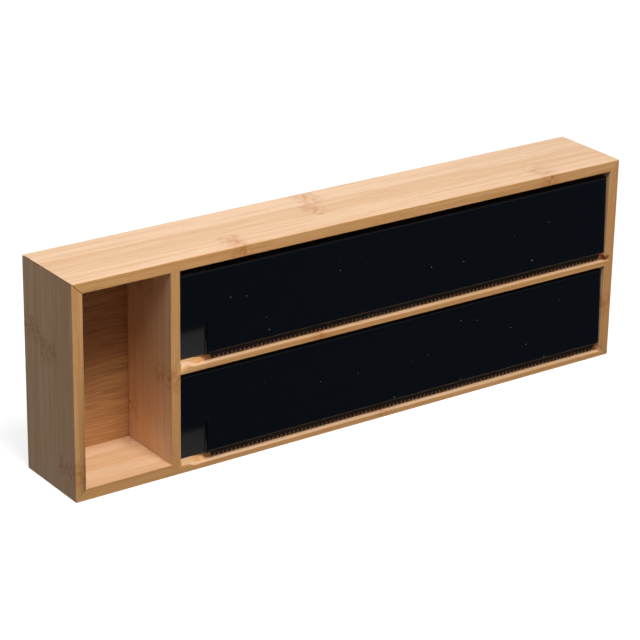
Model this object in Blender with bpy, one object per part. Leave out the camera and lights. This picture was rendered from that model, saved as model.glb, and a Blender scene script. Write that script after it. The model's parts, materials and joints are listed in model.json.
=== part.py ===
"""Dispenser for cling film and foil: a mitred bamboo box with an open compartment and two roll bays.

Each roll bay is closed by a flap that swings out and up on two pins, and carries a serrated strip.
The origin is at the middle of the underside: +X to the right, +Y to the back, +Z up.
"""

import math

import bmesh
import bpy
from mathutils import Matrix, Vector

MM = 0.001

# The box
WIDTH = 400 * MM
DEPTH = 56 * MM
HEIGHT = 134 * MM
BOARD = 7 * MM                      # thickness of the frame boards and of the shelf
DIVIDER = 6.3 * MM                  # thickness of the divider
COMPARTMENT = 57.5 * MM             # clear width of the open compartment
LOWER_BAY = 56 * MM                 # clear height of the lower roll bay
GAP = 0.3 * MM                      # between pieces that touch

# The back panel, held in a groove around the inside of the frame
PANEL_DEPTH = 48.5 * MM             # from the front of the box to the panel's front face
PANEL = 3.5 * MM
GROOVE = 2.5 * MM

# The rebate that the film leaves through, along the front of the bottom rail and of the shelf
REBATE_FLOOR = 3.1 * MM             # above the board's underside
REBATE_DEPTH = 5.5 * MM
FLOOR_RUN_IN = (9 * MM, 17 * MM)     # its start, right of the divider, and its length along the floor
EDGE_RUN_IN = (0.5 * MM, 20.8 * MM)  # the same along the board's top edge

# The housings that the ends of the divider and of the shelf are let into
HOUSING = 3.5 * MM                  # depth in the rails and in the right end
DIVIDER_HOUSING = 2.5 * MM          # depth in the divider

# The hidden tongues in the mitres
SPLINE_LENGTH = 42 * MM
SPLINE_WIDTH = 6 * MM
SPLINE = 2 * MM
SPLINE_FRONT = 4 * MM               # from the front of the box to the spline
SPLINE_PLACE = 6.2 * MM             # along the mitre, from the outer corner

# A flap's section, from the front of the box and from the underside of the board below its bay
HINGE_DEPTH = 5.5 * MM
HINGE_HEIGHT = 57.3 * MM
BARREL_RADIUS = 3 * MM
FLAP = 2 * MM
LIP_DEPTH = 1.9 * MM
LIP_HEIGHT = 9.7 * MM
FLAP_CLEARANCE = 0.7 * MM           # at each end of a flap
BARREL_STEPS = 14
LIP_STEPS = 4

# The hinge pins
PIN_RADIUS = 1.3 * MM
PIN_IN_BOARD = 4.5 * MM
PIN_IN_FLAP = 7 * MM
PIN_CHAMFER = 0.3 * MM

# The finger recess in a flap's lower left corner
RECESS_WIDTH = 19.3 * MM            # from the divider
RECESS_DEPTH = 4.2 * MM             # from the front of the box
RECESS_TOP = 28 * MM
RECESS_BOTTOM = 7.4 * MM
RECESS_WALL = 1.6 * MM
RECESS_RADIUS = 2.8 * MM
ARC_STEPS = 6

# The serrated strip behind a flap's lip
STRIP = 0.8 * MM
STRIP_LEFT = 21.2 * MM              # right of the divider
STRIP_RIGHT = 1.3 * MM              # left of the right end board
STRIP_END_SLANT = 1.5 * MM
FLANGE_TOP = 37 * MM                # below the hinge axis, along the flap
STRIP_BEND = 47.7 * MM
TIP_DEPTH = 3.8 * MM
TIP_HEIGHT = 3.5 * MM
TOOTH_PITCH = 3 * MM
TOOTH_HEIGHT = 2.2 * MM

# The heat stakes that hold the strip
STAKES = 6
STAKE_LINE = 42 * MM                # below the hinge axis, along the flap
STAKE_END = 15 * MM                 # from the strip's ends to the outer stakes
STAKE_RADIUS = 1.2 * MM
STAKE_HEAD = 2.1 * MM
STAKE_HEAD_THICKNESS = 0.9 * MM

# The plates for hanging the box on a wall
HANGER_X = 150 * MM
HANGER_Z = 108 * MM                 # middle of the keyhole's round end
HANGER_WIDTH = 40 * MM
HANGER_HEIGHT = 26 * MM
HANGER = 1 * MM
HANGER_SCREW_X = 14 * MM
KEYHOLE_RADIUS = 4.5 * MM
KEYHOLE_SLOT = 2.4 * MM             # half the width of the slot
KEYHOLE_RISE = 9 * MM
POCKET_DEPTH = 2.2 * MM
POCKET_MARGIN = 1.2 * MM
SCREW_RADIUS = 1.1 * MM
SCREW_HEAD = 2.6 * MM
SCREW_HEAD_HEIGHT = 1.1 * MM
SCREW_IN_PANEL = 2.4 * MM

ROUND_SEGMENTS = 16
TURN_UNDERCUT = 0.02 * MM           # keeps two rings of a turned profile apart where it steps

# Places that follow from the sizes
FRONT = -DEPTH / 2
BACK = DEPTH / 2
DIVIDER_LEFT = -WIDTH / 2 + BOARD + COMPARTMENT
BAY_LEFT = DIVIDER_LEFT + DIVIDER
BAY_RIGHT = WIDTH / 2 - BOARD
BAY_CENTRE = (BAY_LEFT + BAY_RIGHT) / 2
SHELF_Z = BOARD + LOWER_BAY
FLAP_BASES = {"lower": 0.0, "upper": SHELF_Z}
MITRE_SETBACK = GAP / math.sqrt(2)  # along the board, so that each mitre keeps the gap


def clear_scene():
    """Remove every object that the file starts with."""
    for thing in list(bpy.data.objects):
        bpy.data.objects.remove(thing, do_unlink=True)


def make_material(name, colour, roughness, metallic=0.0):
    """One Principled material."""
    material = bpy.data.materials.new(name)
    material.use_nodes = True
    shader = material.node_tree.nodes["Principled BSDF"]
    shader.inputs["Base Color"].default_value = (*colour, 1.0)
    shader.inputs["Roughness"].default_value = roughness
    shader.inputs["Metallic"].default_value = metallic
    return material


def finish_object(name, bm, material=None, parent=None, smooth=False):
    """Turn a bmesh into a linked object whose faces point out."""
    bmesh.ops.recalc_face_normals(bm, faces=bm.faces)
    mesh = bpy.data.meshes.new(name)
    bm.to_mesh(mesh)
    bm.free()
    if smooth:
        mesh.shade_smooth()
        mesh.set_sharp_from_angle(angle=math.radians(35))
    if material:
        mesh.materials.append(material)
    thing = bpy.data.objects.new(name, mesh)
    thing.parent = parent
    bpy.context.scene.collection.objects.link(thing)
    return thing


def add_prism(bm, outline, axis, start, end, end_outline=None):
    """Join a closed 2D outline along axis X, Y or Z to itself or to an end outline with as many points."""
    def place(point, along):
        first, second = point
        return {"X": (along, first, second), "Y": (first, along, second), "Z": (first, second, along)}[axis]

    near = [bm.verts.new(place(point, start)) for point in outline]
    far = [bm.verts.new(place(point, end)) for point in end_outline or outline]
    bm.faces.new(near)
    bm.faces.new(reversed(far))
    for index in range(len(outline)):
        following = (index + 1) % len(outline)
        bm.faces.new((near[index], far[index], far[following], near[following]))


def add_box(bm, low, high):
    """A box between two opposite corners."""
    outline = ((low[0], low[1]), (high[0], low[1]), (high[0], high[1]), (low[0], high[1]))
    add_prism(bm, outline, "Z", low[2], high[2])


def facing(origin, direction):
    """The matrix that puts local Z along a direction."""
    turn = Vector(direction).to_track_quat("Z", "Y").to_matrix().to_4x4()
    return Matrix.Translation(origin) @ turn


def add_turned(bm, rings, place):
    """A closed turned body; rings are (distance along the axis, radius)."""
    loops = []
    for along, radius in rings:
        loop = []
        for step in range(ROUND_SEGMENTS):
            angle = 2 * math.pi * step / ROUND_SEGMENTS
            loop.append(bm.verts.new(place @ Vector((radius * math.cos(angle), radius * math.sin(angle), along))))
        loops.append(loop)
    for lower, upper in zip(loops, loops[1:]):
        for step in range(ROUND_SEGMENTS):
            following = (step + 1) % ROUND_SEGMENTS
            bm.faces.new((lower[step], lower[following], upper[following], upper[step]))
    bm.faces.new(reversed(loops[0]))
    bm.faces.new(loops[-1])


def arc(centre, radius, start, end, steps):
    """Points on an arc, its angles in degrees."""
    points = []
    for step in range(steps + 1):
        angle = math.radians(start + (end - start) * step / steps)
        points.append((centre[0] + radius * math.cos(angle), centre[1] + radius * math.sin(angle)))
    return points


def as_tool(thing):
    """Keep a cutter out of the model and out of renders."""
    thing.hide_render = True
    thing.display_type = "WIRE"
    return thing


def combine(target, tool, operation="DIFFERENCE"):
    """Cut or join with another object."""
    modifier = target.modifiers.new(f"{operation.lower()}_{tool.name}", "BOOLEAN")
    modifier.operation = operation
    modifier.object = tool
    modifier.solver = "EXACT"


def make_box(name, low, high, material=None, grow=0.0):
    """A box as its own object, grown on every side."""
    bm = bmesh.new()
    add_box(bm, [value - grow for value in low], [value + grow for value in high])
    return finish_object(name, bm, material)


# ---------------------------------------------------------------- bamboo box


def mitred_board(name, corners, material):
    """A frame board with its outline in the XZ plane, as deep as the box."""
    bm = bmesh.new()
    add_prism(bm, corners, "Y", FRONT, BACK)
    return finish_object(name, bm, material)


def make_frame_boards(material):
    """The four boards of the frame, each with a mitre at both ends."""
    half = WIDTH / 2
    boards = {}
    for name, outer, inner in (("top_rail", HEIGHT, HEIGHT - BOARD), ("bottom_rail", 0.0, BOARD)):
        tip = half - MITRE_SETBACK
        heel = half - BOARD - MITRE_SETBACK
        corners = ((-tip, outer), (tip, outer), (heel, inner), (-heel, inner))
        boards[name] = mitred_board(name, corners, material)
    for name, side in (("left_end", -1), ("right_end", 1)):
        low_tip, high_tip = MITRE_SETBACK, HEIGHT - MITRE_SETBACK
        low_heel, high_heel = low_tip + BOARD, high_tip - BOARD
        outer, inner = side * half, side * (half - BOARD)
        corners = ((outer, low_tip), (outer, high_tip), (inner, high_heel), (inner, low_heel))
        boards[name] = mitred_board(name, corners, material)
    return boards


def let_in(name, low, high, along, housed, boards, material):
    """A board flush with the front whose two ends, along one axis, sit in housings of other boards."""
    low, high = Vector(low), Vector(high)
    play = Vector((GAP, 0, GAP))
    play[along] = 0
    slot = as_tool(make_box(f"cut_housing_{name}", low - play - Vector((0, GAP, 0)), high + play))
    for other in housed:
        combine(boards[other], slot)
    play = Vector((0, 0, 0))
    play[along] = GAP
    boards[name] = make_box(name, low + play, high - play - Vector((0, GAP, 0)), material)


def add_inner_boards(boards, material):
    """The divider and the shelf, both stopped by the back panel."""
    back = FRONT + PANEL_DEPTH
    let_in("divider", (DIVIDER_LEFT, FRONT, BOARD - HOUSING), (BAY_LEFT, back, HEIGHT - BOARD + HOUSING),
           2, ("top_rail", "bottom_rail"), boards, material)
    let_in("roll_shelf", (BAY_LEFT - DIVIDER_HOUSING, FRONT, SHELF_Z),
           (BAY_RIGHT + HOUSING, back, SHELF_Z + BOARD), 0, ("divider", "right_end"), boards, material)


def make_back_panel(boards, material):
    """The panel, and the groove that it leaves in the frame boards."""
    half = WIDTH / 2 - BOARD + GROOVE
    low = (-half, FRONT + PANEL_DEPTH, BOARD - GROOVE)
    high = (half, FRONT + PANEL_DEPTH + PANEL, HEIGHT - BOARD + GROOVE)
    panel = make_box("back_panel", low, high, material, grow=-GAP)
    groove = as_tool(make_box("cut_groove", low, high))
    for name in ("top_rail", "bottom_rail", "left_end", "right_end"):
        combine(boards[name], groove)
    return panel


def run_in(start, length):
    """A rebate's wall in plan at its left end: an arc from the full depth out past the front of the box."""
    radius = (length ** 2 + REBATE_DEPTH ** 2) / (2 * REBATE_DEPTH)
    centre = (BAY_LEFT + start + length, FRONT + REBATE_DEPTH - radius)
    reach = math.degrees(math.acos((radius - REBATE_DEPTH - GAP) / radius))
    return arc(centre, radius, 90, 90 + reach, 2 * ARC_STEPS)


def cut_film_rebates(boards):
    """Rout the front top edge of the bottom rail and of the shelf; the wall leans where it runs in."""
    floor, edge = run_in(*FLOOR_RUN_IN), run_in(*EDGE_RUN_IN)
    above = [(2 * high[0] - low[0], 2 * high[1] - low[1]) for low, high in zip(floor, edge)]
    outside = FRONT - BOARD
    for name, base, right in (("bottom_rail", 0.0, BAY_RIGHT), ("roll_shelf", SHELF_Z, WIDTH / 2)):
        low, high = ([(right, outside), (right, FRONT + REBATE_DEPTH), *curve, (curve[-1][0], outside)]
                     for curve in (floor, above))
        bm = bmesh.new()
        add_prism(bm, low, "Z", base + REBATE_FLOOR, base + 2 * BOARD - REBATE_FLOOR, high)
        bmesh.ops.triangulate(bm, faces=bm.faces)
        combine(boards[name], as_tool(finish_object(f"cut_rebate_{name}", bm)))


def make_corner_splines(boards, material):
    """A loose tongue across each mitre, and the slots that it leaves."""
    slots = bmesh.new()
    for row, up in (("bottom", 1), ("top", -1)):
        for column, right in (("left", 1), ("right", -1)):
            along = Vector((right, 0, up)).normalized()
            across = Vector((-up, 0, right)).normalized()
            corner = Vector((-right * WIDTH / 2, 0, 0 if up > 0 else HEIGHT))
            middle = corner + along * SPLINE_PLACE
            for grow, target in ((0.0, bmesh.new()), (GAP, slots)):
                outline = []
                for sign_along, sign_across in ((-1, -1), (1, -1), (1, 1), (-1, 1)):
                    point = middle + along * sign_along * (SPLINE / 2 + grow)
                    point += across * sign_across * (SPLINE_WIDTH / 2 + grow)
                    outline.append((point.x, point.z))
                start = FRONT + SPLINE_FRONT
                add_prism(target, outline, "Y", start - grow, start + SPLINE_LENGTH + grow)
                if target is not slots:
                    finish_object(f"corner_spline_{row}_{column}", target, material)
    tool = as_tool(finish_object("cut_spline_slots", slots))
    for name in ("top_rail", "bottom_rail", "left_end", "right_end"):
        combine(boards[name], tool)


# --------------------------------------------------------------------- flaps


def flap_axes():
    """The flap's front normal and its upward direction, as (y, z), from the lip to the barrel."""
    back, rise = HINGE_DEPTH - LIP_DEPTH, HINGE_HEIGHT - LIP_HEIGHT
    taper = math.asin((BARREL_RADIUS - FLAP / 2) / math.hypot(back, rise))
    lean = math.atan2(back, rise) - taper
    return Vector((-math.cos(lean), math.sin(lean))), Vector((math.sin(lean), math.cos(lean)))


def flap_outline():
    """The flap's section around its hinge axis: barrel, flat plate and round lip."""
    front, up = flap_axes()
    lip = Vector((LIP_DEPTH - HINGE_DEPTH, LIP_HEIGHT - HINGE_HEIGHT))
    barrel_end = 2 * math.pi - math.acos((BARREL_RADIUS - FLAP) / BARREL_RADIUS)
    outline = []
    for step in range(BARREL_STEPS + 1):
        angle = barrel_end * step / BARREL_STEPS
        outline.append(BARREL_RADIUS * (math.cos(angle) * front + math.sin(angle) * up))
    for step in range(LIP_STEPS + 1):
        angle = math.pi + math.pi * step / LIP_STEPS
        outline.append(lip + FLAP / 2 * (math.cos(angle) * front + math.sin(angle) * up))
    return [tuple(point) for point in outline]


def flap_ends():
    """The flap's left and right ends, from the middle of the bay."""
    reach = (BAY_RIGHT - BAY_LEFT) / 2 - FLAP_CLEARANCE
    return -reach, reach


def stake_places(backwards):
    """Where the stakes stand on the back of the flap, moved backwards along them."""
    front, up = flap_axes()
    left = BAY_LEFT + STRIP_LEFT + STAKE_END - BAY_CENTRE
    right = BAY_RIGHT - STRIP_RIGHT - STAKE_END - BAY_CENTRE
    foot = (BARREL_RADIUS - FLAP - backwards) * front - STAKE_LINE * up
    places = []
    for index in range(STAKES):
        x = left + (right - left) * index / (STAKES - 1)
        places.append(facing((x, foot.x, foot.y), (0, -front.x, -front.y)))
    return places


def make_stakes(name, parent):
    """Heat stakes with flattened heads, to be joined to the flap."""
    head = 2 * GAP + STRIP + FLAP / 4
    rings = ((0, STAKE_RADIUS), (head, STAKE_RADIUS), (head + TURN_UNDERCUT, STAKE_HEAD),
             (head + STAKE_HEAD_THICKNESS / 2, STAKE_HEAD), (head + STAKE_HEAD_THICKNESS, STAKE_RADIUS))
    bm = bmesh.new()
    for place in stake_places(-FLAP / 4):
        add_turned(bm, rings, place)
    return as_tool(finish_object(name, bm, parent=parent))


def recess_outline(grow):
    """The finger recess seen from above, around the hinge axis, grown for its outer wall."""
    left = flap_ends()[0] if grow else BAY_LEFT - BAY_CENTRE - BOARD
    right = BAY_LEFT - BAY_CENTRE + RECESS_WIDTH + grow
    back = RECESS_DEPTH - HINGE_DEPTH + grow
    front = LIP_DEPTH + FLAP / 4 - HINGE_DEPTH if grow else -HINGE_DEPTH - BOARD
    corner = arc((right - RECESS_RADIUS, back - RECESS_RADIUS), RECESS_RADIUS, 0, 90, ARC_STEPS)
    return [(left, front), (right, front), *corner, (left, back)]


def make_recess(name, grow, parent):
    """The recess as a cutter, or its wall as a body to join."""
    bottom = RECESS_BOTTOM if grow else 0.0
    bm = bmesh.new()
    add_prism(bm, recess_outline(grow), "Z", bottom - HINGE_HEIGHT, RECESS_TOP + grow - HINGE_HEIGHT)
    return as_tool(finish_object(name, bm, parent=parent))


def make_flap(row, axis, material):
    """A flap around its hinge axis: plate, barrel, lip, finger recess, stakes and pin bores."""
    left, right = flap_ends()
    bm = bmesh.new()
    add_prism(bm, flap_outline(), "X", left, right)
    flap = finish_object(f"{row}_flap", bm, material, axis, smooth=True)
    bores = bmesh.new()
    for end, inward in ((left, 1), (right, -1)):
        rings = ((-GAP, PIN_RADIUS + GAP), (PIN_IN_FLAP + GAP, PIN_RADIUS + GAP))
        add_turned(bores, rings, facing((end, 0, 0), (inward, 0, 0)))
    combine(flap, make_stakes(f"join_stakes_{row}", axis), "UNION")
    combine(flap, make_recess(f"join_recess_{row}", RECESS_WALL, axis), "UNION")
    combine(flap, make_recess(f"cut_recess_{row}", 0.0, axis))
    combine(flap, as_tool(finish_object(f"cut_bores_{row}", bores, parent=axis)))


def make_cutter_strip(row, axis, material):
    """A bent strip: a flange behind the flap and a blade with teeth that leans back below the lip."""
    front, up = flap_axes()
    left = BAY_LEFT + STRIP_LEFT - BAY_CENTRE
    right = BAY_RIGHT - STRIP_RIGHT - BAY_CENTRE
    face = (BARREL_RADIUS - FLAP - GAP) * front
    top, bend = face - FLANGE_TOP * up, face - STRIP_BEND * up
    tip = Vector((TIP_DEPTH - HINGE_DEPTH, TIP_HEIGHT - HINGE_HEIGHT))
    valley = tip + (bend - tip).normalized() * TOOTH_HEIGHT
    first, last = left + STRIP_END_SLANT, right - STRIP_END_SLANT
    teeth = round((last - first) / TOOTH_PITCH)

    bm = bmesh.new()
    corners = [bm.verts.new((x, *point)) for x, point in ((left, top), (right, top), (right, bend), (left, bend))]
    valleys = [bm.verts.new((first + (last - first) * index / teeth, *valley)) for index in range(teeth + 1)]
    bm.faces.new(reversed(corners))
    bm.faces.new([corners[3], *valleys, corners[2]])
    for index, (before, after) in enumerate(zip(valleys, valleys[1:])):
        point = bm.verts.new((first + (last - first) * (index + 0.5) / teeth, *tip))
        bm.faces.new((before, point, after))
    mesh = bpy.data.meshes.new(f"{row}_cutter_strip")
    bm.to_mesh(mesh)
    bm.free()
    mesh.materials.append(material)
    strip = bpy.data.objects.new(f"{row}_cutter_strip", mesh)
    strip.parent = axis
    bpy.context.scene.collection.objects.link(strip)
    solid = strip.modifiers.new("thickness", "SOLIDIFY")
    solid.thickness = STRIP
    solid.offset = -1
    solid.use_even_offset = True

    holes = bmesh.new()
    rings = ((0, STAKE_RADIUS + GAP), (3 * FLAP, STAKE_RADIUS + GAP))
    for place in stake_places(-FLAP):
        add_turned(holes, rings, place)
    combine(strip, as_tool(finish_object(f"cut_stake_holes_{row}", holes, parent=axis)))


def make_hinge_pins(boards, material):
    """Two pins for each flap, one in the divider and one in the right end."""
    length = PIN_IN_BOARD - GAP + FLAP_CLEARANCE + PIN_IN_FLAP
    rings = ((0, PIN_RADIUS - PIN_CHAMFER), (PIN_CHAMFER, PIN_RADIUS),
             (length - PIN_CHAMFER, PIN_RADIUS), (length, PIN_RADIUS - PIN_CHAMFER))
    hole_rings = ((0, PIN_RADIUS + GAP), (PIN_IN_BOARD + FLAP_CLEARANCE / 2, PIN_RADIUS + GAP))
    holes = bmesh.new()
    for row, base in FLAP_BASES.items():
        for side, wall, inward in (("left", BAY_LEFT, 1), ("right", BAY_RIGHT, -1)):
            bottom = Vector((wall - inward * PIN_IN_BOARD, FRONT + HINGE_DEPTH, base + HINGE_HEIGHT))
            direction = (inward, 0, 0)
            add_turned(holes, hole_rings, facing(bottom, direction))
            bm = bmesh.new()
            add_turned(bm, rings, facing(bottom + Vector(direction) * GAP, direction))
            finish_object(f"{row}_hinge_pin_{side}", bm, material, smooth=True)
    tool = as_tool(finish_object("cut_pin_holes", holes))
    combine(boards["divider"], tool)
    combine(boards["right_end"], tool)


# ------------------------------------------------------------------- hangers


def keyhole_outline(x, radius, slot, rise):
    """A round hole with a slot above it, in the XZ plane."""
    opening = math.degrees(math.asin(slot / radius))
    round_end = arc((x, HANGER_Z), radius, 90 + opening, 450 - opening, 2 * ARC_STEPS)
    slot_end = arc((x, HANGER_Z + rise), slot, 0, 180, ARC_STEPS)
    return [*round_end, *slot_end]


def make_hangers(panel, material, screw_material):
    """Two keyhole plates on the back of the panel, with a blind pocket behind each and two screws."""
    back = FRONT + PANEL_DEPTH + PANEL - GAP
    pockets, screw_holes = bmesh.new(), bmesh.new()
    head = back + 2 * GAP + HANGER
    depth = head - back + SCREW_IN_PANEL
    rings = ((0, SCREW_RADIUS / 2), (SCREW_RADIUS, SCREW_RADIUS), (depth, SCREW_RADIUS),
             (depth + TURN_UNDERCUT, SCREW_HEAD), (depth + SCREW_HEAD_HEIGHT / 2, SCREW_HEAD),
             (depth + SCREW_HEAD_HEIGHT, SCREW_RADIUS))
    middle = HANGER_Z + KEYHOLE_RISE / 2
    for side, x in (("left", -HANGER_X), ("right", HANGER_X)):
        low = (x - HANGER_WIDTH / 2, back + GAP, middle - HANGER_HEIGHT / 2)
        high = (x + HANGER_WIDTH / 2, back + GAP + HANGER, middle + HANGER_HEIGHT / 2)
        plate = make_box(f"keyhole_hanger_{side}", low, high, material)
        bm = bmesh.new()
        add_prism(bm, keyhole_outline(x, KEYHOLE_RADIUS, KEYHOLE_SLOT, KEYHOLE_RISE), "Y", back, head)
        combine(plate, as_tool(finish_object(f"cut_keyhole_{side}", bm)))
        add_prism(pockets, keyhole_outline(x, KEYHOLE_RADIUS + POCKET_MARGIN, KEYHOLE_RADIUS, KEYHOLE_RISE),
                  "Y", back - POCKET_DEPTH, back + HANGER)
        holes = bmesh.new()
        for place, offset in (("left", -HANGER_SCREW_X), ("right", HANGER_SCREW_X)):
            start = Vector((x + offset, head - depth, middle))
            screw = bmesh.new()
            add_turned(screw, rings, facing(start, (0, 1, 0)))
            finish_object(f"hanger_screw_{side}_{place}", screw, screw_material, smooth=True)
            hole_rings = ((0, SCREW_RADIUS + GAP), (depth + GAP, SCREW_RADIUS + GAP))
            for bore in (holes, screw_holes):
                add_turned(bore, hole_rings, facing(start - Vector((0, GAP, 0)), (0, 1, 0)))
        combine(plate, as_tool(finish_object(f"cut_plate_holes_{side}", holes)))
    combine(panel, as_tool(finish_object("cut_hanger_pockets", pockets)))
    combine(panel, as_tool(finish_object("cut_screw_holes", screw_holes)))


def build():
    """Make the whole dispenser."""
    clear_scene()
    bamboo = make_material("bamboo", (0.80, 0.56, 0.32), 0.45)
    panel_bamboo = make_material("panel_bamboo", (0.66, 0.42, 0.22), 0.5)
    gloss_black = make_material("gloss_black", (0.012, 0.013, 0.016), 0.12)
    strip_black = make_material("strip_black", (0.03, 0.03, 0.032), 0.35)
    steel = make_material("steel", (0.6, 0.6, 0.6), 0.3, 1.0)

    boards = make_frame_boards(bamboo)
    add_inner_boards(boards, bamboo)
    panel = make_back_panel(boards, panel_bamboo)
    cut_film_rebates(boards)
    make_corner_splines(boards, bamboo)
    make_hinge_pins(boards, steel)
    make_hangers(panel, steel, steel)

    for row, base in FLAP_BASES.items():
        axis = bpy.data.objects.new(f"{row}_hinge_axis", None)
        axis.location = (BAY_CENTRE, FRONT + HINGE_DEPTH, base + HINGE_HEIGHT)
        bpy.context.scene.collection.objects.link(axis)
        make_flap(row, axis, gloss_black)
        make_cutter_strip(row, axis, strip_black)
    bpy.context.view_layer.update()


build()
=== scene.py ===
"""Looks of the dispenser for cling film and foil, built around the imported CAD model.

Lengths are in metres, in the model's own frame: +X to the right, +Y to the back, +Z up.
"""

import json
import math

import bmesh
import bpy
from mathutils import Matrix, Quaternion, Vector


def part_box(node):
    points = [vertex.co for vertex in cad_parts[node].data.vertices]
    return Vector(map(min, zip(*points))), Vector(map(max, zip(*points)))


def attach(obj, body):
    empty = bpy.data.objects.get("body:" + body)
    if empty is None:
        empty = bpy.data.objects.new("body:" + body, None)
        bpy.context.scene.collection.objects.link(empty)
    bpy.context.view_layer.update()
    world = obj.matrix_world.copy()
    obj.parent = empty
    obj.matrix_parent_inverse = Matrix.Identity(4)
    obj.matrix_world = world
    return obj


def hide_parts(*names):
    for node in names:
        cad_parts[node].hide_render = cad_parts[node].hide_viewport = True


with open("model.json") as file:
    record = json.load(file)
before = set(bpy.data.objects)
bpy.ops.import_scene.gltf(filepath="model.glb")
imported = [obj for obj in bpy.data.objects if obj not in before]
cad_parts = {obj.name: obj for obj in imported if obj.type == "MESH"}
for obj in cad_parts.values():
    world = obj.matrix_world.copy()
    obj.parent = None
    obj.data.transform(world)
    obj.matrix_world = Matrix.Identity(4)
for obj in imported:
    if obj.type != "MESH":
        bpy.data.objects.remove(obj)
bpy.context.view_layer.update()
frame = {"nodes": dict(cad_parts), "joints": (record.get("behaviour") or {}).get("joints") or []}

MM = 0.001

# The view of the photograph
VIEW_AZIMUTH = -35.46
VIEW_ELEVATION = 22.36
VIEW_ROLL = 1.0
VIEW_TARGET = Vector((-9.3, 3.0, 59.8)) * MM
VIEW_DISTANCE = 1.5525
LENS = 142.85

# The box, from the frame
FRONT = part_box("top_rail")[0].y
HALF_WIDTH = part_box("top_rail")[1].x
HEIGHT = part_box("top_rail")[1].z
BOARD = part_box("roll_shelf")[1].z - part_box("roll_shelf")[0].z
DIVIDER_LEFT, BAY_LEFT = (corner.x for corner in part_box("divider"))
BAY_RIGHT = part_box("right_end")[0].x
BAY_CENTRE = (BAY_LEFT + BAY_RIGHT) / 2
SHELF_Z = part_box("roll_shelf")[0].z
GROOVE_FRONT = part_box("back_panel")[0].y - 1 * MM
GROOVE_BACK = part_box("back_panel")[1].y + 1 * MM

# How the boards are finished
ARRIS = 0.5 * MM                    # rounding of a board's long edges
ARRIS_SEGMENTS = 3
JOINT_GAP = 0.02 * MM               # what shows of a glued joint, on each side
JOINT_REACH = 0.4 * MM              # points this close to a joint's plane belong to it
HOUSING = 3.5 * MM                  # depth of the housings in the rails and in the right end
DIVIDER_HOUSING = 2.5 * MM          # depth of the shelf's housing in the divider
SHORTEST_ARRIS = 1 * MM             # hole rims have shorter edges than this

# A flap's section, around its hinge axis
HINGE_DEPTH = 5.5 * MM              # from the front of the box
HINGE_HEIGHT = 57.3 * MM            # above the underside of the board below
BARREL_RADIUS = 3 * MM
FLAP = 2 * MM
LIP_DEPTH = 1.9 * MM
LIP_HEIGHT = 9.7 * MM
BARREL_STEPS = 44
LIP_STEPS = 12
FLAP_EDGE = 0.35 * MM               # rounding of a moulded edge

# The finger recess, the pin bores and the stakes of a flap
RECESS_WIDTH = 19.3 * MM            # from the divider
RECESS_DEPTH = 4.2 * MM             # from the front of the box
RECESS_TOP = 28 * MM
RECESS_BOTTOM = 7.4 * MM
RECESS_WALL = 1.6 * MM
RECESS_RADIUS = 2.8 * MM
BORE_RADIUS = 1.6 * MM
BORE_DEPTH = 7.3 * MM
STAKES = 6
STAKE_LINE = 42 * MM                # below the hinge axis, along the flap
STAKE_END = 15 * MM                 # from the strip's ends to the outer stakes
STAKE_RADIUS = 1.2 * MM
STAKE_HEAD = 2.1 * MM
STAKE_HEAD_HEIGHT = 0.9 * MM

# The serrated strip
STRIP = 0.8 * MM
STRIP_GAP = 0.3 * MM                # between the strip and the flap
STRIP_LEFT = 21.2 * MM              # right of the divider
STRIP_RIGHT = 1.3 * MM              # left of the right end board
STRIP_END_SLANT = 1.5 * MM
FLANGE_TOP = 37 * MM                # below the hinge axis, along the flap
STRIP_BEND = 47.7 * MM
BEND_LENGTH = 2 * MM
BEND_STEPS = 5
TIP_DEPTH = 3.8 * MM
TIP_HEIGHT = 3.5 * MM
TOOTH_PITCH = 3 * MM
TOOTH_HEIGHT = 2.2 * MM
TIP_THICKNESS = 0.3                 # of the strip's thickness, where a tooth is ground

# The plates and screws on the back
PLATE_CORNER = 3 * MM
PLATE_EDGE = 0.15 * MM
KEYHOLE_RADIUS = 4.5 * MM
KEYHOLE_SLOT = 2.4 * MM             # half the width of the slot
KEYHOLE_RISE = 9 * MM
SCREW_HOLE = 1.5 * MM
SCREW_X = 14 * MM
SCREW_SHANK = 1.1 * MM
CROSS_LENGTH = 2.9 * MM
CROSS_WIDTH = 0.6 * MM
CROSS_DEPTH = 0.55 * MM
SCREW_HEAD = 1.1 * MM
HEAD_ARC = 84                       # degrees of its dome, so that the top stays a small flat
HEAD_STEPS = 6

# A stake's dome
DOME_ARC = 80                       # degrees
DOME_STEPS = 6

# Meshes
ROUND_SEGMENTS = 32
ARC_STEPS = 16
CAD_WELD = 0.005 * MM               # points of the CAD meshes closer than this are one
BOOLEAN_WELD = 0.01 * MM            # the same after a boolean
FLAT = math.radians(0.5)            # faces that turn by less than this are merged
SMOOTH = math.radians(38)           # edges that turn by less than this are shaded smooth

# Bamboo: strips of this width are glued side by side across the depth of the box
BAMBOO_STRIP = -2 * FRONT / 3


# ------------------------------------------------------------------ materials


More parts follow.
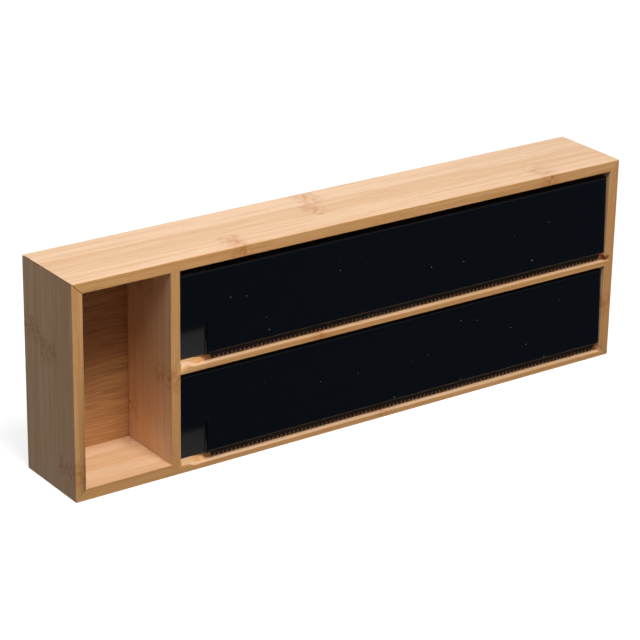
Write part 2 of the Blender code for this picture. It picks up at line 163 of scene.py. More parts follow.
class Finish:
    """A Principled material, with short calls for the nodes that the finishes share."""

    def __init__(self, name):
        self.material = bpy.data.materials.new(name)
        self.material.use_nodes = True
        self.tree = self.material.node_tree
        self.shader = self.tree.nodes["Principled BSDF"]
        self.place = self.node("TexCoord", {}).outputs["Object"]
        self.x, self.y, self.z = self.node("SeparateXYZ", {0: self.place}).outputs

    def feed(self, socket, value):
        """Link an output to an input, or give the input a value."""
        if isinstance(value, bpy.types.NodeSocket):
            self.tree.links.new(value, socket)
        else:
            socket.default_value = value

    def node(self, kind, inputs, **settings):
        """A node with its settings and inputs."""
        made = self.tree.nodes.new("ShaderNode" + kind)
        for name, value in settings.items():
            setattr(made, name, value)
        for name, value in inputs.items():
            self.feed(made.inputs[name], value)
        return made

    def set(self, **inputs):
        """Inputs of the shader; an underscore in a name stands for a space."""
        for name, value in inputs.items():
            self.feed(self.shader.inputs[name.replace("_", " ")], value)

    def math(self, operation, a, b=0.0, c=0.0):
        """One arithmetic step."""
        return self.node("Math", {0: a, 1: b, 2: c}, operation=operation).outputs[0]

    def span(self, value, low, high, start=0.0, end=1.0):
        """Value taken smoothly from low..high to start..end."""
        inputs = {"Value": value, "From Min": low, "From Max": high, "To Min": start, "To Max": end}
        return self.node("MapRange", inputs, interpolation_type="SMOOTHSTEP").outputs[0]

    def mix(self, factor, a, b, blend="MIX"):
        """A colour between a and b."""
        made = self.node("Mix", {0: factor, 6: a, 7: b}, data_type="RGBA", blend_type=blend)
        return made.outputs[2]

    def noise(self, sizes, detail=2.0, shift=0.0, coords=None):
        """Noise whose blotches measure about sizes along X, Y and Z."""
        parts = []
        for part, size in zip(coords or (self.x, self.y, self.z), sizes):
            parts.append(self.math("MULTIPLY_ADD", part, 1 / size, shift))
        vector = self.node("CombineXYZ", dict(enumerate(parts))).outputs[0]
        return self.node("TexNoise", {"Vector": vector, "Scale": 1.0, "Detail": detail}).outputs[0]

    def bump(self, height, distance):
        """Raise the surface by up to distance where height is 1."""
        made = self.node("Bump", {"Strength": 1.0, "Distance": distance, "Height": height})
        self.set(Normal=made.outputs[0])


def colour(red, green, blue):
    """A linear colour."""
    return (red, green, blue, 1.0)


BAMBOO_LIGHT = colour(0.84, 0.56, 0.35)
BAMBOO_DARK = colour(0.71, 0.41, 0.20)
BAMBOO_NODE = colour(0.56, 0.235, 0.095)
BAMBOO_PORE = colour(0.36, 0.17, 0.075)
BAMBOO_SIDE = colour(0.94, 0.77, 0.51)
NODE_SPACING = 230 * MM


def bamboo(name, grain, knots, seed):
    """Lacquered bamboo, grain along axis 0 (X) or 2 (Z); knots are the places of the strips' culm nodes."""
    f = Finish(name)
    axes = (f.x, f.y, f.z)
    along, across = axes[grain], axes[1]
    strip = f.math("FLOOR", f.math("DIVIDE", f.math("SUBTRACT", across, FRONT), BAMBOO_STRIP))
    chance = f.node("TexWhiteNoise", {"W": f.math("ADD", strip, seed)}, noise_dimensions="1D").outputs[0]

    knot = knots[0]
    for number in range(1, len(knots)):
        past = f.math("GREATER_THAN", strip, number - 0.5)
        knot = f.math("MULTIPLY_ADD", past, knots[number] - knots[number - 1], knot)
    ragged = f.math("SUBTRACT", f.noise((5 * MM,) * 3, 2.0, seed), 0.5)
    from_knot = f.math("WRAP", f.math("SUBTRACT", along, knot), NODE_SPACING / 2, -NODE_SPACING / 2)
    from_knot = f.math("ABSOLUTE", f.math("MULTIPLY_ADD", ragged, 9 * MM, from_knot))
    near = f.span(from_knot, 11 * MM, 2 * MM)

    sway_sizes = [12 * MM, 12 * MM, 12 * MM]
    sway_sizes[grain] = 30 * MM
    sway = f.math("SUBTRACT", f.noise(sway_sizes), 0.5)
    sway = f.math("MULTIPLY", sway, f.math("MULTIPLY_ADD", near, 5 * MM, 1.2 * MM))
    shifted = f.math("MULTIPLY_ADD", chance, 1.7, along)
    coords = [f.math("ADD", f.x, sway), f.math("ADD", across, sway), f.math("ADD", f.z, sway)]
    coords[grain] = shifted

    def fibres(length, width, detail=2.0):
        sizes = [width, width, width]
        sizes[grain] = length
        return f.noise(sizes, detail, seed, coords)

    broad = fibres(150 * MM, 5 * MM, 1.0)
    streak = fibres(75 * MM, 1.2 * MM)
    fine = fibres(20 * MM, 0.4 * MM)
    pores = f.span(fibres(7 * MM, 0.45 * MM, 1.0), 0.66, 0.76)
    tone = f.math("MULTIPLY_ADD", streak, 0.48, f.math("MULTIPLY", fine, 0.28))
    tone = f.math("MULTIPLY_ADD", broad, 0.24, tone)
    tone = f.math("MULTIPLY_ADD", f.math("SUBTRACT", chance, 0.5), 0.13, tone)
    base = f.mix(f.span(tone, 0.36, 0.64), BAMBOO_DARK, BAMBOO_LIGHT)
    base = f.mix(f.math("MULTIPLY", pores, 0.35), base, BAMBOO_PORE)

    patch = f.span(f.noise((3.5 * MM,) * 3, 3.0, seed + 3), 0.3, 0.72)
    line = f.math("MULTIPLY", f.span(from_knot, 1.8 * MM, 0.3 * MM), 0.4)
    marked = f.math("MULTIPLY_ADD", f.math("MULTIPLY", near, patch), 0.68, f.math("MULTIPLY", line, patch))
    base = f.mix(marked, base, BAMBOO_NODE)
    normal = f.node("NewGeometry", {}).outputs["Normal"]
    facing_y = f.math("ABSOLUTE", f.node("SeparateXYZ", {0: normal}).outputs[1])
    base = f.mix(f.span(facing_y, 0.4, 0.9), base, BAMBOO_SIDE, "MULTIPLY")

    f.set(Base_Color=base, Roughness=f.span(fine, 0.3, 0.7, 0.46, 0.34), Coat_Weight=0.18, Coat_Roughness=0.3)
    relief = f.math("MULTIPLY_ADD", fine, 0.4, f.math("MULTIPLY", pores, -0.5))
    relief = f.math("MULTIPLY_ADD", streak, 0.5, relief)
    f.bump(relief, 0.05 * MM)
    return f.material


def panel_bamboo():
    """Carbonised bamboo panel with wavy, broken streaks along X."""
    f = Finish("panel_bamboo")
    wave = f.math("SUBTRACT", f.noise((30 * MM, 30 * MM, 30 * MM), 1.0), 0.5)
    height = f.math("MULTIPLY_ADD", wave, 5 * MM, f.z)
    coords = (f.x, f.y, height)
    bands = f.noise((90 * MM, 4 * MM, 4 * MM), 2.0, 1.0, coords)
    streaks = f.noise((22 * MM, 2 * MM, 0.7 * MM), 2.0, 2.0, coords)
    fine = f.noise((9 * MM, 0.8 * MM, 0.4 * MM), 2.0, 3.0, coords)
    tone = f.math("MULTIPLY_ADD", streaks, 0.5, f.math("MULTIPLY", fine, 0.25))
    tone = f.math("MULTIPLY_ADD", bands, 0.25, tone)
    base = f.mix(f.span(tone, 0.36, 0.62), colour(0.38, 0.165, 0.058), colour(0.58, 0.29, 0.11))
    f.set(Base_Color=base, Roughness=f.span(fine, 0.3, 0.7, 0.55, 0.42))
    f.bump(f.math("MULTIPLY_ADD", streaks, 0.6, f.math("MULTIPLY", fine, 0.4)), 0.06 * MM)
    return f.material


def joinery_wood():
    """Plain wood for the splines."""
    f = Finish("joinery_wood")
    grain = f.noise((3 * MM, 3 * MM, 3 * MM), 4.0)
    f.set(Base_Color=f.mix(grain, colour(0.42, 0.23, 0.1), colour(0.66, 0.43, 0.22)), Roughness=0.6)
    f.bump(grain, 0.05 * MM)
    return f.material


def gloss_black():
    """High gloss black plastic with hairline scratches and a little dust, satin in the finger recesses."""
    f = Finish("gloss_black")
    rubbed = f.noise((22 * MM, 5 * MM, 30 * MM), 3.0)
    scratch = f.span(f.noise((0.5 * MM, 40 * MM, 45 * MM), 1.0, 5.0), 0.72, 0.8)
    over = f.node("CombineXYZ", {0: f.x, 1: f.z}).outputs[0]
    cells = f.node("TexVoronoi", {"Vector": over, "Scale": 75.0}, voronoi_dimensions="2D")
    chance, brightness = f.node("SeparateColor", {0: cells.outputs["Color"]}).outputs[:2]
    dot = f.span(cells.outputs["Distance"], 0.032, 0.014)
    speck = f.math("MULTIPLY", dot, f.math("GREATER_THAN", chance, 0.8))
    dust = f.math("MULTIPLY", speck, f.math("POWER", brightness, 2.0))
    in_recess = f.math("MULTIPLY", f.math("LESS_THAN", f.x, BAY_LEFT + RECESS_WIDTH),
                       f.span(f.y, FRONT + RECESS_DEPTH - 1 * MM, FRONT + RECESS_DEPTH - 0.4 * MM))
    base = f.mix(in_recess, colour(0.0010, 0.0014, 0.0024), colour(0.024, 0.024, 0.024))
    base = f.mix(dust, base, colour(0.4, 0.45, 0.45))
    rough = f.math("MULTIPLY_ADD", scratch, 0.12, f.span(rubbed, 0.3, 0.75, 0.07, 0.16))
    rough = f.math("MULTIPLY_ADD", in_recess, 0.4, f.math("MULTIPLY_ADD", speck, 0.5, rough))
    coat = f.math("MULTIPLY_ADD", in_recess, -0.3, 0.3)
    f.set(Base_Color=base, Roughness=rough, Coat_Weight=coat, Coat_Roughness=0.05)
    f.bump(f.noise((45 * MM, 45 * MM, 28 * MM), 1.0, 7.0), 0.12 * MM)
    return f.material


def strip_black():
    """Satin black strip, mottled a little."""
    f = Finish("strip_black")
    mottle = f.noise((2.2 * MM,) * 3, 3.0)
    base = f.mix(f.span(mottle, 0.45, 0.75), colour(0.006, 0.007, 0.009), colour(0.022, 0.023, 0.026))
    f.set(Base_Color=base, Roughness=f.span(mottle, 0.3, 0.7, 0.42, 0.58), Specular_IOR_Level=0.18)
    f.bump(f.noise((0.7 * MM,) * 3, 2.0), 0.02 * MM)
    return f.material


def turned_steel():
    """Bright steel of the hinge pins and screws."""
    f = Finish("turned_steel")
    rings = f.noise((0.25 * MM, 3 * MM, 3 * MM), 2.0)
    base = f.mix(rings, colour(0.42, 0.42, 0.43), colour(0.62, 0.62, 0.62))
    f.set(Base_Color=base, Metallic=1.0, Roughness=f.span(rings, 0.3, 0.7, 0.22, 0.36))
    return f.material


def zinc_plate():
    """Zinc plated sheet, cloudy, with fine rolling marks."""
    f = Finish("zinc_plate")
    cloud = f.noise((9 * MM,) * 3, 4.0)
    rolled = f.noise((12 * MM, 2 * MM, 0.35 * MM), 2.0)
    base = f.mix(f.span(cloud, 0.3, 0.7), colour(0.46, 0.47, 0.48), colour(0.66, 0.65, 0.60))
    f.set(Base_Color=base, Metallic=1.0, Roughness=f.math("MULTIPLY_ADD", rolled, 0.18, 0.24))
    f.bump(rolled, 0.02 * MM)
    return f.material


# ----------------------------------------------------------------- mesh tools


def add_prism(bm, outline, axis, start, end):
    """Extrude a closed 2D outline along an axis; the outline holds the other two coordinates."""
    def place(point, along):
        first, second = point
        return {"X": (along, first, second), "Y": (first, along, second), "Z": (first, second, along)}[axis]

    near = [bm.verts.new(place(point, start)) for point in outline]
    far = [bm.verts.new(place(point, end)) for point in outline]
    bm.faces.new(near)
    bm.faces.new(reversed(far))
    for index in range(len(outline)):
        following = (index + 1) % len(outline)
        bm.faces.new((near[index], far[index], far[following], near[following]))
    bmesh.ops.recalc_face_normals(bm, faces=bm.faces)


def add_turned(bm, rings, place):
    """A closed turned body; rings are (distance along the axis, radius)."""
    loops = []
    for along, radius in rings:
        loop = []
        for step in range(ROUND_SEGMENTS):
            angle = 2 * math.pi * step / ROUND_SEGMENTS
            point = Vector((radius * math.cos(angle), radius * math.sin(angle), along))
            loop.append(bm.verts.new(place @ point))
        loops.append(loop)
    for lower, upper in zip(loops, loops[1:]):
        for step in range(ROUND_SEGMENTS):
            following = (step + 1) % ROUND_SEGMENTS
            bm.faces.new((lower[step], lower[following], upper[following], upper[step]))
    bm.faces.new(reversed(loops[0]))
    bm.faces.new(loops[-1])
    bmesh.ops.recalc_face_normals(bm, faces=bm.faces)


def facing(origin, direction):
    """The matrix that puts local Z along a direction."""
    turn = Vector(direction).to_track_quat("Z", "Y").to_matrix().to_4x4()
    return Matrix.Translation(origin) @ turn


def arc(centre, radius, start, end, steps=ARC_STEPS):
    """Points on an arc, its angles in degrees."""
    points = []
    for step in range(steps + 1):
        angle = math.radians(start + (end - start) * step / steps)
        points.append((centre[0] + radius * math.cos(angle), centre[1] + radius * math.sin(angle)))
    return points


def link_mesh(name, bm):
    """Turn a bmesh into a linked object."""
    mesh = bpy.data.meshes.new(name)
    bm.to_mesh(mesh)
    bm.free()
    thing = bpy.data.objects.new(name, mesh)
    bpy.context.scene.collection.objects.link(thing)
    return thing


def settled(thing):
    """The bmesh of an object with its modifiers applied; the object is used up."""
    bm = bmesh.new()
    bm.from_object(thing, bpy.context.evaluated_depsgraph_get())
    mesh = thing.data
    bpy.data.objects.remove(thing)
    bpy.data.meshes.remove(mesh)
    return bm


def boolean(shape, tool, operation="DIFFERENCE"):
    """The first bmesh cut by, or joined with, the second; both are used up."""
    target, cutter = link_mesh("shape", shape), link_mesh("tool", tool)
    modifier = target.modifiers.new("boolean", "BOOLEAN")
    modifier.operation = operation
    modifier.object = cutter
    modifier.solver = "EXACT"
    result = settled(target)
    settled(cutter).free()
    return result


def round_edges(bm, edges, width, segments=3):
    """Round the given edges."""
    bmesh.ops.bevel(bm, geom=edges, offset=width, offset_type="OFFSET", segments=segments, profile=0.5,
                    affect="EDGES", clamp_overlap=True, loop_slide=True)


def sharp_edges(bm, angle=50.0):
    """Edges whose two faces turn by more than an angle in degrees."""
    return [edge for edge in bm.edges if len(edge.link_faces) == 2
            and edge.calc_face_angle(0.0) > math.radians(angle)]


def make_piece(name, bm, body, slot, material, *replaced):
    """Finish a mesh as a piece that rides on a body and stands for CAD nodes."""
    piece = link_mesh(name, bm)
    piece.data.materials.clear()
    piece.data.materials.append(material)
    piece.data.shade_smooth()
    piece.data.set_sharp_from_angle(angle=SMOOTH)
    piece.modifiers.new("face_weighted_normals", "WEIGHTED_NORMAL").keep_sharp = True
    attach(piece, body)
    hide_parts(*replaced)
    return piece


def dress(node, material):
    """Give a CAD node its material."""
    mesh_object = frame["nodes"][node]
    for slot in mesh_object.material_slots:
        slot.material = material
    if not mesh_object.material_slots:
        mesh_object.data.materials.append(material)


# ----------------------------------------------------------------- bamboo box


def cad_mesh(node):
    """A CAD node's mesh with its triangles merged back into flat faces."""
    bm = bmesh.new()
    bm.from_mesh(frame["nodes"][node].data)
    bmesh.ops.remove_doubles(bm, verts=bm.verts, dist=CAD_WELD)
    bmesh.ops.dissolve_limit(bm, angle_limit=FLAT, verts=bm.verts, edges=bm.edges)
    return bm


def close_mitres(bm, horizontal):
    """Move the ends of a frame board up to the mitres, along the board."""
    for vert in bm.verts:
        side = math.copysign(1.0, vert.co.x)
        from_side = HALF_WIDTH - abs(vert.co.x)
        from_top = HEIGHT - vert.co.z
        from_edge = min(from_top, vert.co.z)
        if abs(from_side - from_edge) > JOINT_REACH or from_side > 1.5 * BOARD:
            continue
        if horizontal:
            vert.co.x = side * (HALF_WIDTH - from_edge - JOINT_GAP)
        elif from_top < HEIGHT / 2:
            vert.co.z = HEIGHT - from_side - JOINT_GAP
        else:
            vert.co.z = from_side + JOINT_GAP


def snap(bm, axis, *planes):
    """Move the points that lie near a plane across an axis onto it."""
    for vert in bm.verts:
        for plane in planes:
            if abs(vert.co[axis] - plane) < JOINT_REACH:
                vert.co[axis] = plane


def cut_at(bm, axis, *planes):
    """Divide a board's faces at planes across an axis."""
    for plane in planes:
        normal = Vector((0, 0, 0))
        normal[axis] = 1.0
        bmesh.ops.bisect_plane(bm, geom=[*bm.verts, *bm.edges, *bm.faces],
                               plane_co=normal * plane, plane_no=normal)


def close_housings(bm, node):
    """Close the gaps in the housings, and divide the divider and the shelf where they enter them."""
    if node in ("top_rail", "bottom_rail"):
        snap(bm, 0, DIVIDER_LEFT - JOINT_GAP, BAY_LEFT + JOINT_GAP)
    if node in ("right_end", "divider"):
        snap(bm, 2, SHELF_Z - JOINT_GAP, SHELF_Z + BOARD + JOINT_GAP)
    if node == "divider":
        snap(bm, 2, BOARD - HOUSING + JOINT_GAP, HEIGHT - BOARD + HOUSING - JOINT_GAP)
        cut_at(bm, 2, BOARD, HEIGHT - BOARD)
    if node == "roll_shelf":
        snap(bm, 0, BAY_LEFT - DIVIDER_HOUSING + JOINT_GAP, BAY_RIGHT + HOUSING - JOINT_GAP)
        cut_at(bm, 0, BAY_LEFT, BAY_RIGHT)


def in_housing(start, end):
    """True for an edge in a housing, or around the place where a board enters one."""
    x, _, z = (start.co + end.co) / 2
    touch = 2 * JOINT_GAP
    beside_divider = DIVIDER_LEFT - touch < x < BAY_LEFT + touch and min(z, HEIGHT - z) < BOARD + touch
    at_shelf_end = (BAY_LEFT - DIVIDER_HOUSING - touch < x < BAY_LEFT + touch
                    or BAY_RIGHT - touch < x < BAY_RIGHT + HOUSING + touch)
    return beside_divider or (at_shelf_end and SHELF_Z - touch < z < SHELF_Z + BOARD + touch)


def round_arrises(bm):
    """Round a board's edges, but not those of its joints, of the panel's groove or of hidden holes."""
    arrises = []
    for edge in sharp_edges(bm):
        in_groove = all(GROOVE_FRONT < vert.co.y < GROOVE_BACK for vert in edge.verts)
        at_mitre = any(abs(face.normal.x * face.normal.z) > 0.3 for face in edge.link_faces)
        if edge.calc_length() > SHORTEST_ARRIS and not (in_groove or at_mitre or in_housing(*edge.verts)):
            arrises.append(edge)
    round_edges(bm, arrises, ARRIS, ARRIS_SEGMENTS)


def make_boards():
    """The six bamboo boards, each with its own strips and culm nodes."""
    knots = {
        "top_rail": (-87 * MM, -17 * MM, -10 * MM),
        "bottom_rail": (20 * MM, -100 * MM, 96 * MM),
        "roll_shelf": (-30 * MM, 128 * MM, 20 * MM),
        "left_end": (18 * MM, 84 * MM, 92 * MM),
        "right_end": (36 * MM, 40 * MM, 101 * MM),
        "divider": (61 * MM, 113 * MM, 30 * MM),
    }
    for seed, (node, places) in enumerate(knots.items()):
        flat = node in ("top_rail", "bottom_rail", "roll_shelf")
        material = bamboo(f"bamboo_{node}", 0 if flat else 2, places, seed * 11.0)
        bm = cad_mesh(node)
        if node not in ("roll_shelf", "divider"):
            close_mitres(bm, flat)
        close_housings(bm, node)
        round_arrises(bm)
        board = make_piece(f"{node}_board", bm, "box", "bamboo", material, node)
        for edge in board.data.edges:
            if in_housing(*(board.data.vertices[index] for index in edge.vertices)):
                edge.use_edge_sharp = True


# ---------------------------------------------------------------------- flaps


def flap_axes():
    """The flap's front normal and its upward direction, as (y, z), from the lip to the barrel."""
    back, rise = HINGE_DEPTH - LIP_DEPTH, HINGE_HEIGHT - LIP_HEIGHT
    taper = math.asin((BARREL_RADIUS - FLAP / 2) / math.hypot(back, rise))
    lean = math.atan2(back, rise) - taper
    return Vector((-math.cos(lean), math.sin(lean))), Vector((math.sin(lean), math.cos(lean)))


def flap_outline():
    """The flap's section around its hinge axis: barrel, flat plate and round lip."""
    front, up = flap_axes()
    lip = Vector((LIP_DEPTH - HINGE_DEPTH, LIP_HEIGHT - HINGE_HEIGHT))
    barrel_end = 2 * math.pi - math.acos((BARREL_RADIUS - FLAP) / BARREL_RADIUS)
    outline = []
    for step in range(BARREL_STEPS + 1):
        angle = barrel_end * step / BARREL_STEPS
        outline.append(BARREL_RADIUS * (math.cos(angle) * front + math.sin(angle) * up))
    for step in range(LIP_STEPS + 1):
        angle = math.pi + math.pi * step / LIP_STEPS
        outline.append(lip + FLAP / 2 * (math.cos(angle) * front + math.sin(angle) * up))
    return [tuple(point) for point in outline]


def recess_outline(grow, left):
    """The finger recess seen from above, around the hinge axis, grown for its outer wall."""
    right = BAY_LEFT - BAY_CENTRE + RECESS_WIDTH + grow
    back = RECESS_DEPTH - HINGE_DEPTH + grow
    front = LIP_DEPTH + FLAP / 4 - HINGE_DEPTH if grow else -HINGE_DEPTH - BOARD
    corner = arc((right - RECESS_RADIUS, back - RECESS_RADIUS), RECESS_RADIUS, 0, 90)
    return [(left, front), (right, front), *corner, (left, back)]


def stake_places(backwards):
    """Where the stakes stand on the back of the flap, moved backwards along them."""
    front, up = flap_axes()
    left = BAY_LEFT + STRIP_LEFT + STAKE_END - BAY_CENTRE
    right = BAY_RIGHT - STRIP_RIGHT - STAKE_END - BAY_CENTRE
    foot = (BARREL_RADIUS - FLAP - backwards) * front - STAKE_LINE * up
    places = []
    for index in range(STAKES):
        x = left + (right - left) * index / (STAKES - 1)
        places.append(facing((x, foot.x, foot.y), (0, -front.x, -front.y)))
    return places


def make_flap(row, axis, material):
    """A moulded flap: plate, barrel, lip, finger recess, stakes with domed heads, and pin bores."""
    low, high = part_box(f"{row}_flap")
    left, right = low.x - axis.x, high.x - axis.x
    bm = bmesh.new()
    add_prism(bm, flap_outline(), "X", left, right)
    wall = bmesh.new()
    add_prism(wall, recess_outline(RECESS_WALL, left), "Z",
              RECESS_BOTTOM - HINGE_HEIGHT, RECESS_TOP + RECESS_WALL - HINGE_HEIGHT)
    hollow = bmesh.new()
    add_prism(hollow, recess_outline(0.0, left - BOARD), "Z", -HINGE_HEIGHT, RECESS_TOP - HINGE_HEIGHT)
    bm = boolean(boolean(bm, wall, "UNION"), hollow)
    bmesh.ops.remove_doubles(bm, verts=bm.verts, dist=BOOLEAN_WELD)
    bmesh.ops.dissolve_limit(bm, angle_limit=FLAT, verts=bm.verts, edges=bm.edges)
    round_edges(bm, sharp_edges(bm, 40.0), FLAP_EDGE)

    stakes, bores = bmesh.new(), bmesh.new()
    under_head = FLAP / 4 + 2 * STRIP_GAP + STRIP
    dome = [(under_head + rise * STAKE_HEAD_HEIGHT, radius * STAKE_HEAD)
            for radius, rise in arc((0, 0), 1.0, 0, DOME_ARC, DOME_STEPS)]
    for place in stake_places(-FLAP / 4):
        add_turned(stakes, [(0, STAKE_RADIUS), (under_head, STAKE_RADIUS), *dome], place)
    for end, inward in ((left, 1), (right, -1)):
        bore = ((-BOARD, BORE_RADIUS), (BORE_DEPTH, BORE_RADIUS))
        add_turned(bores, bore, facing((end, 0, 0), (inward, 0, 0)))
    bm = boolean(boolean(bm, stakes, "UNION"), bores)
    bm.transform(Matrix.Translation(axis))
    make_piece(f"{row}_flap_shell", bm, f"{row}_flap", "gloss_black", material, f"{row}_flap")


def strip_section():
    """The strip's front face in section, from its flange to the foot of its teeth, and the tips."""
    front, up = flap_axes()
    face = (BARREL_RADIUS - FLAP - STRIP_GAP) * front
    bend = face - STRIP_BEND * up
    tip = Vector((TIP_DEPTH - HINGE_DEPTH, TIP_HEIGHT - HINGE_HEIGHT))
    before = bend + up * BEND_LENGTH / 2
    after = bend + (tip - bend).normalized() * BEND_LENGTH / 2
    points = [face - FLANGE_TOP * up]
    for step in range(BEND_STEPS + 1):
        share = step / BEND_STEPS
        points.append(before.lerp(bend, share).lerp(bend.lerp(after, share), share))
    points.append(tip + (bend - tip).normalized() * TOOTH_HEIGHT)
    return points, tip


def make_cutter_strip(row, axis, material):
    """A bent strip with ground teeth, and a hole for each stake."""
    left = BAY_LEFT + STRIP_LEFT - BAY_CENTRE
    right = BAY_RIGHT - STRIP_RIGHT - BAY_CENTRE
    first, last = left + STRIP_END_SLANT, right - STRIP_END_SLANT
    teeth = round((last - first) / TOOTH_PITCH)
    section, tip = strip_section()

    bm = bmesh.new()
    ground = bm.verts.layers.deform.verify()
    rows = [[bm.verts.new((x, *point)) for x in (left, right)] for point in section[:-1]]
    feet = [bm.verts.new((first + (last - first) * index / teeth, *section[-1]))
            for index in range(teeth + 1)]
    for upper, lower in zip(rows, rows[1:]):
        bm.faces.new((lower[0], lower[1], upper[1], upper[0]))
    bm.faces.new((*feet, rows[-1][1], rows[-1][0]))
    tips = []
    for index, (before, after) in enumerate(zip(feet, feet[1:])):
        point = bm.verts.new((first + (last - first) * (index + 0.5) / teeth, *tip))
        bm.faces.new((point, after, before))
        tips.append(point)
    for vert in bm.verts:
        vert[ground][0] = 1.0
    for vert in tips:
        vert[ground][0] = TIP_THICKNESS
    bmesh.ops.recalc_face_normals(bm, faces=bm.faces)
    if bm.faces[0].normal.y > 0:
        bmesh.ops.reverse_faces(bm, faces=bm.faces)
    sheet = link_mesh("strip_sheet", bm)
    sheet.vertex_groups.new(name="thickness")
    solid = sheet.modifiers.new("thickness", "SOLIDIFY")
    solid.thickness = STRIP
    solid.offset = -1
    solid.use_even_offset = True
    solid.vertex_group = "thickness"

    holes = bmesh.new()
    for place in stake_places(-FLAP):
        add_turned(holes, ((0, STAKE_RADIUS + STRIP_GAP), (3 * FLAP, STAKE_RADIUS + STRIP_GAP)), place)
    bm = boolean(settled(sheet), holes)
    bm.transform(Matrix.Translation(axis))
    name = f"{row}_cutter_strip"
    make_piece(f"{row}_cutter_blade", bm, f"{row}_flap", "strip_black", material, name)


# --------------------------------------------------------------- back hangers


def keyhole_outline(x, z):
    """A round hole with a slot above it, in the XZ plane; z is the middle of the round end."""
    opening = math.degrees(math.asin(KEYHOLE_SLOT / KEYHOLE_RADIUS))
    round_end = arc((x, z), KEYHOLE_RADIUS, 90 + opening, 450 - opening, 3 * ARC_STEPS)
    return [*round_end, *arc((x, z + KEYHOLE_RISE), KEYHOLE_SLOT, 0, 180)]


def make_hanger(side, material):
    """A zinc plated keyhole plate with round corners."""
    low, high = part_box(f"keyhole_hanger_{side}")
    middle = (low + high) / 2
    outline = []
    corners = ((high.x, high.z, 0), (low.x, high.z, 90), (low.x, low.z, 180), (high.x, low.z, 270))
    for x, z, start in corners:
        centre = (x + math.copysign(PLATE_CORNER, middle.x - x),
                  z + math.copysign(PLATE_CORNER, middle.z - z))
        outline += arc(centre, PLATE_CORNER, start, start + 90, ARC_STEPS // 2)
    bm, holes = bmesh.new(), bmesh.new()
    add_prism(bm, outline, "Y", low.y, high.y)
    keyhole = keyhole_outline(middle.x, middle.z - KEYHOLE_RISE / 2)
    add_prism(holes, keyhole, "Y", low.y - BOARD, high.y + BOARD)
    for offset in (-SCREW_X, SCREW_X):
        start = Vector((middle.x + offset, low.y - BOARD, middle.z))
        hole = ((0, SCREW_HOLE), (2 * BOARD + high.y - low.y, SCREW_HOLE))
        add_turned(holes, hole, facing(start, (0, 1, 0)))
    bm = boolean(bm, holes)
    round_edges(bm, sharp_edges(bm), PLATE_EDGE, 2)
    make_piece(f"keyhole_plate_{side}", bm, "box", "plate_steel", material, f"keyhole_hanger_{side}")


def make_screw(node, material):
    """A cross head screw with a domed head."""
    low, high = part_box(node)
    middle = (low + high) / 2
    radius = (high.x - low.x) / 2
    under_head = high.y - low.y - SCREW_HEAD
    rings = [(0, SCREW_SHANK / 2), (SCREW_SHANK, SCREW_SHANK), (under_head, SCREW_SHANK)]
    for step in range(HEAD_STEPS + 1):
        angle = math.radians(HEAD_ARC * step / HEAD_STEPS)
        rise = SCREW_HEAD * math.sin(angle) / math.sin(math.radians(HEAD_ARC))
        rings.append((under_head + rise, radius * math.cos(angle)))
    bm, cross = bmesh.new(), bmesh.new()
    add_turned(bm, rings, facing((middle.x, low.y, middle.z), (0, 1, 0)))
    reach, half = CROSS_LENGTH / 2, CROSS_WIDTH / 2
    outline = []
    for quarter in range(4):
        turn = Matrix.Rotation(math.radians(-90 * quarter), 2)
        for corner in ((half, half), (reach, half), (reach, -half)):
            point = turn @ Vector(corner)
            outline.append((middle.x + point.x, middle.z + point.y))
    add_prism(cross, outline, "Y", high.y - CROSS_DEPTH, high.y + BOARD)
    bm = boolean(bm, cross)
    make_piece(f"cross_{node}", bm, "box", "pin_steel", material, node)


# ---------------------------------------------------------------------- stage


def add_camera():
    """The camera at the photograph's viewing angle."""
    azimuth, elevation = math.radians(VIEW_AZIMUTH), math.radians(VIEW_ELEVATION)
    back = Vector((math.sin(azimuth) * math.cos(elevation), -math.cos(azimuth) * math.cos(elevation),
                   math.sin(elevation)))
    turn = (-back).to_track_quat("-Z", "Y") @ Quaternion((0, 0, 1), math.radians(VIEW_ROLL))
    data = bpy.data.cameras.new("camera")
    data.lens = LENS
    camera = bpy.data.objects.new("camera", data)
    camera.location = VIEW_TARGET + back * VIEW_DISTANCE
    camera.rotation_mode = "QUATERNION"
    camera.rotation_quaternion = turn
    bpy.context.scene.collection.objects.link(camera)
    bpy.context.scene.camera = camera


def add_softbox(name, azimuth, elevation, distance, size, strength, tint=(1.0, 1.0, 1.0)):
    """A square light aimed at the object; strength is how bright it makes a white card that faces it."""
    azimuth, elevation = math.radians(azimuth), math.radians(elevation)
    towards = Vector((math.sin(azimuth) * math.cos(elevation), -math.cos(azimuth) * math.cos(elevation),
                      math.sin(elevation)))
    data = bpy.data.lights.new(name, "AREA")
    data.size = size
    data.energy = strength * (math.pi * distance) ** 2
    data.color = tint
    light = bpy.data.objects.new(name, data)
    light.location = Vector((0, 0, HEIGHT / 2)) + towards * distance
    light.rotation_euler = towards.to_track_quat("Z", "Y").to_euler()
    bpy.context.scene.collection.objects.link(light)
    return light


def add_floor():
    """A plain pale floor; it isn't seen in reflections, so that the gloss stays black."""
    bm = bmesh.new()
    add_prism(bm, ((-4, -4), (4, -4), (4, 4), (-4, 4)), "Z", -10 * MM, 0.0)
    floor = link_mesh("floor", bm)
    f = Finish("floor")
    f.set(Base_Color=colour(0.34, 0.34, 0.34), Roughness=0.9, Specular_IOR_Level=0.0,
          Emission_Color=colour(1.0, 1.0, 1.0), Emission_Strength=0.80)
    floor.data.materials.append(f.material)
    floor.visible_glossy = False
    floor.visible_diffuse = False


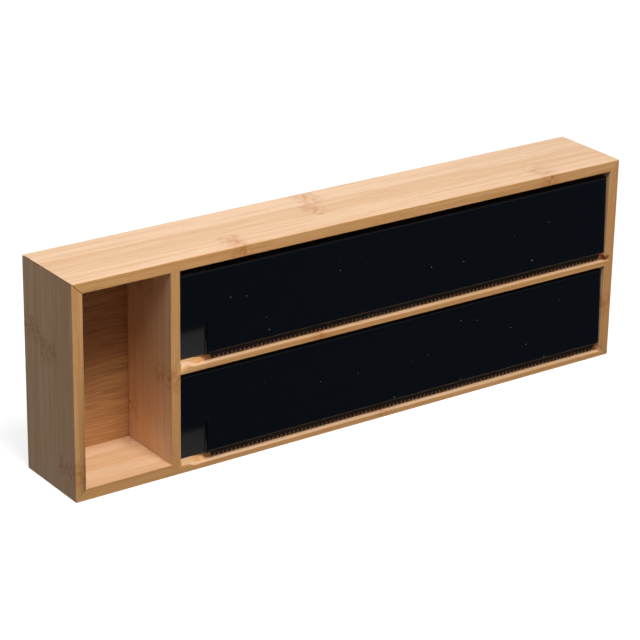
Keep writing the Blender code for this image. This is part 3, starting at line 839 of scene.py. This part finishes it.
def add_world():
    """White to the camera, dim as a light, and dimmer and cooler in reflections."""
    world = bpy.data.worlds.new("world")
    world.use_nodes = True
    bpy.context.scene.world = world
    tree = world.node_tree
    rays = tree.nodes.new("ShaderNodeLightPath")
    shown = tree.nodes["Background"].outputs[0]
    tree.nodes["Background"].inputs["Color"].default_value = colour(0.125, 0.13, 0.135)
    views = (("Is Glossy Ray", colour(0.045, 0.062, 0.085)), ("Is Camera Ray", colour(1.0, 1.0, 1.0)))
    for kind, seen in views:
        background = tree.nodes.new("ShaderNodeBackground")
        background.inputs["Color"].default_value = seen
        mixed = tree.nodes.new("ShaderNodeMixShader")
        tree.links.new(rays.outputs[kind], mixed.inputs[0])
        tree.links.new(shown, mixed.inputs[1])
        tree.links.new(background.outputs[0], mixed.inputs[2])
        shown = mixed.outputs[0]
    tree.links.new(shown, tree.nodes["World Output"].inputs["Surface"])


def add_lights():
    """A high key in front, a little to the left, weak fills at both sides, and two lights behind."""
    add_softbox("key", -12, 62, 1.6, 0.6, 1.10)
    add_softbox("left_fill", -75, 15, 2.0, 1.2, 0.05)
    add_softbox("right_fill", 50, 42, 1.6, 1.2, 0.02)
    add_softbox("sheen", 145, 24, 1.8, 1.2, 0.08)
    add_softbox("back_fill", 205, 30, 2.0, 1.0, 0.12)


# ----------------------------------------------------------------------- scene


def build():
    """Finish every part of the dispenser."""
    make_boards()
    black, blade = gloss_black(), strip_black()
    for joint in frame["joints"]:
        row = joint["name"].split("_")[0]
        axis = Vector(joint["pos_m"])
        make_flap(row, axis, black)
        make_cutter_strip(row, axis, blade)
    steel, zinc, wood = turned_steel(), zinc_plate(), joinery_wood()
    dress("back_panel", panel_bamboo())
    for node in frame["nodes"]:
        if node.startswith("hanger_screw"):
            make_screw(node, steel)
        elif "spline" in node:
            dress(node, wood)
        elif "hinge_pin" in node:
            dress(node, steel)
    for side in ("left", "right"):
        make_hanger(side, zinc)


bpy.context.scene.view_settings.view_transform = "Standard"
add_camera()
add_floor()
add_world()
add_lights()
build()
